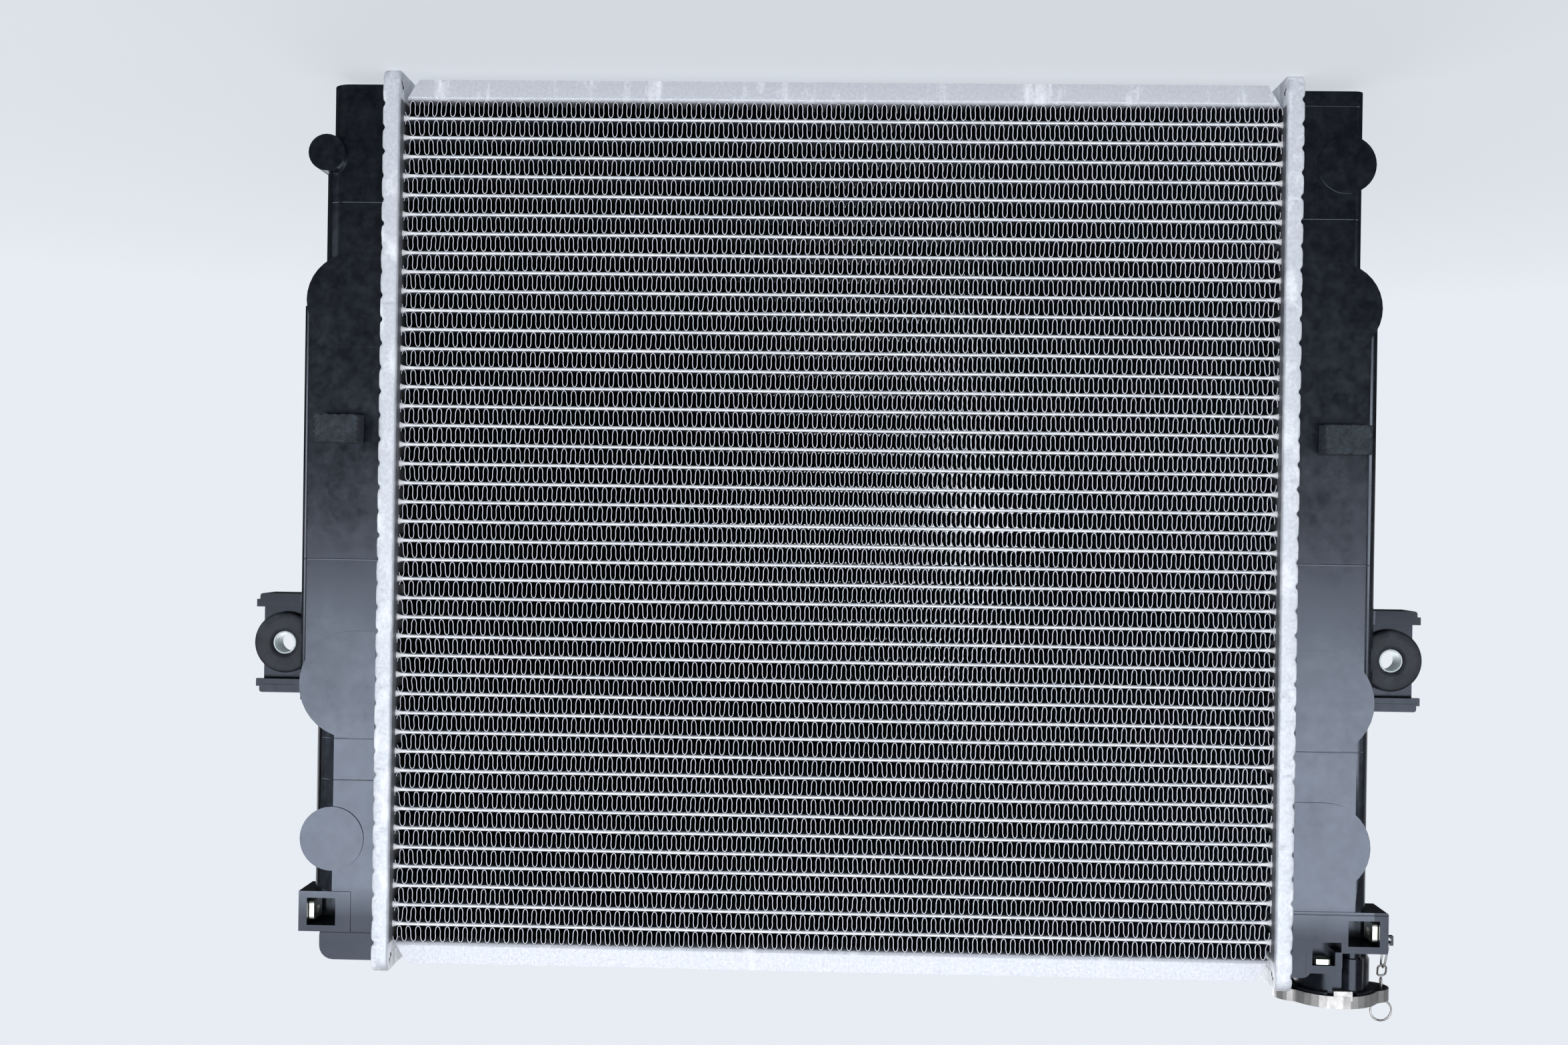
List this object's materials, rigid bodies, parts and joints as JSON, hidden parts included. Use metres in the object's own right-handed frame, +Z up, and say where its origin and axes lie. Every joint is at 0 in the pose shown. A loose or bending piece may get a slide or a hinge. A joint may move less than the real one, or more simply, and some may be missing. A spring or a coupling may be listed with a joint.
{
  "type": "car radiator",
  "caption": "Cross-flow car radiator with flat tubes and fins, two moulded side tanks, mounting ears and a pressure cap.",
  "frame": {"origin": "on the ground the header plates stand on, in the middle of the overall width and depth", "axes": "+X from the inlet tank to the outlet tank, +Y from the front, where air enters, to the engine side, +Z up as in the car"},
  "size_m": [0.5868, 0.09, 0.4728],
  "materials": {
    "core_aluminium": "brazed, satin",
    "plate_aluminium": "pressed sheet with brazing flux",
    "black_nylon": "moulded glass-filled nylon, satin",
    "black_rubber": "matt moulded rubber",
    "grey_foam": "open-cell foam, matt",
    "zinc_plate": "zinc plated, satin",
    "bright_steel": "bright plated",
    "brass": "plain"
  },
  "bodies": {
    "radiator": {"tube_bank_01": "core_aluminium", "tube_bank_02": "core_aluminium", "tube_bank_03": "core_aluminium", "tube_bank_04": "core_aluminium", "tube_bank_05": "core_aluminium", "tube_bank_06": "core_aluminium", "tube_bank_07": "core_aluminium", "tube_bank_08": "core_aluminium", "tube_bank_09": "core_aluminium", "tube_bank_10": "core_aluminium", "tube_bank_11": "core_aluminium", "tube_bank_12": "core_aluminium", "tube_bank_13": "core_aluminium", "tube_bank_14": "core_aluminium", "tube_bank_15": "core_aluminium", "tube_bank_16": "core_aluminium", "tube_bank_17": "core_aluminium", "tube_bank_18": "core_aluminium", "tube_bank_19": "core_aluminium", "tube_bank_20": "core_aluminium", "tube_bank_21": "core_aluminium", "tube_bank_22": "core_aluminium", "side_plate_top": "plate_aluminium", "side_plate_bottom": "plate_aluminium", "header_plate_inlet": "plate_aluminium", "header_plate_outlet": "plate_aluminium", "gasket_inlet": "black_rubber", "gasket_outlet": "black_rubber", "bush_inlet": "black_rubber", "bush_outlet": "black_rubber", "bush_sleeve_inlet": "zinc_plate", "bush_sleeve_outlet": "zinc_plate", "shroud_nut_outlet": "zinc_plate", "shroud_nut_inlet_side": "zinc_plate", "shroud_nut_inlet_top": "zinc_plate", "tank_inlet": "black_nylon", "tank_outlet": "black_nylon", "foam_pad_inlet": "grey_foam", "foam_pad_outlet": "grey_foam"},
    "cap_insert": {"cap_rivet": "zinc_plate", "cap_neck_seal": "black_rubber", "cap_spring_cup": "zinc_plate", "cap_pressure_spring": "bright_steel"},
    "cap_cover": {"cap_shell": "bright_steel"},
    "cap_hook": {"cap_clip": "bright_steel"},
    "pressure_valve": {"cap_pressure_valve": "brass", "cap_valve_seal": "black_rubber"},
    "vacuum_valve": {"cap_vacuum_valve": "brass"},
    "drain_seat": {"drain_seal": "black_rubber"},
    "drain_screw": {"drain_cock": "black_nylon"},
    "chain_link_long": {"chain_long_link": "bright_steel"},
    "chain_link_short": {"chain_short_link": "bright_steel"}
  },
  "joints": [
    {"name": "cap_lift", "type": "slide", "parent": "radiator", "child": "cap_insert", "axis": [0, 0, 1], "range_m": [0, 0.05]},
    {"name": "cap_turn", "type": "hinge", "parent": "cap_insert", "child": "cap_cover", "pos_m": [-0.2547, -0.009, 0.4583], "axis": [0, 0, 1], "range_deg": [-90, 0]},
    {"name": "cap_hook_spin", "type": "hinge", "parent": "cap_cover", "child": "cap_hook", "pos_m": [-0.2799, -0.009, 0.4603], "axis": [0, 0, 1], "range_deg": [-40, 40]},
    {"name": "pressure_valve_lift", "type": "slide", "parent": "cap_insert", "child": "pressure_valve", "axis": [0, 0, 1], "range_m": [0, 0.003], "stiffness_N_per_m": 400, "springref_m": -0.002, "deforming": ["cap_pressure_spring"]},
    {"name": "vacuum_valve_drop", "type": "slide", "parent": "pressure_valve", "child": "vacuum_valve", "axis": [0, 0, -1], "range_m": [0, 0.002], "stiffness_N_per_m": 50, "springref_m": -0.002},
    {"name": "drain_travel", "type": "slide", "parent": "radiator", "child": "drain_seat", "axis": [0, 1, 0], "range_m": [0, 0.003]},
    {"name": "drain_turn", "type": "hinge", "parent": "drain_seat", "child": "drain_screw", "pos_m": [0.2565, 0.011, 0.0424], "axis": [0, 1, 0], "range_deg": [0, 720]},
    {"name": "chain_swing", "type": "hinge", "parent": "radiator", "child": "chain_link_long", "pos_m": [-0.2816, -0.013, 0.4306], "axis": [0, 1, 0], "range_deg": [-165, 0]},
    {"name": "chain_link_swing", "type": "hinge", "parent": "chain_link_long", "child": "chain_link_short", "pos_m": [-0.2791, -0.013, 0.4442], "axis": [0, 1, 0], "range_deg": [-60, 40]}
  ],
  "couplings": [
    {"joint": "drain_turn", "follows": "drain_travel", "rad_per_m": 4188.8}
  ]
}
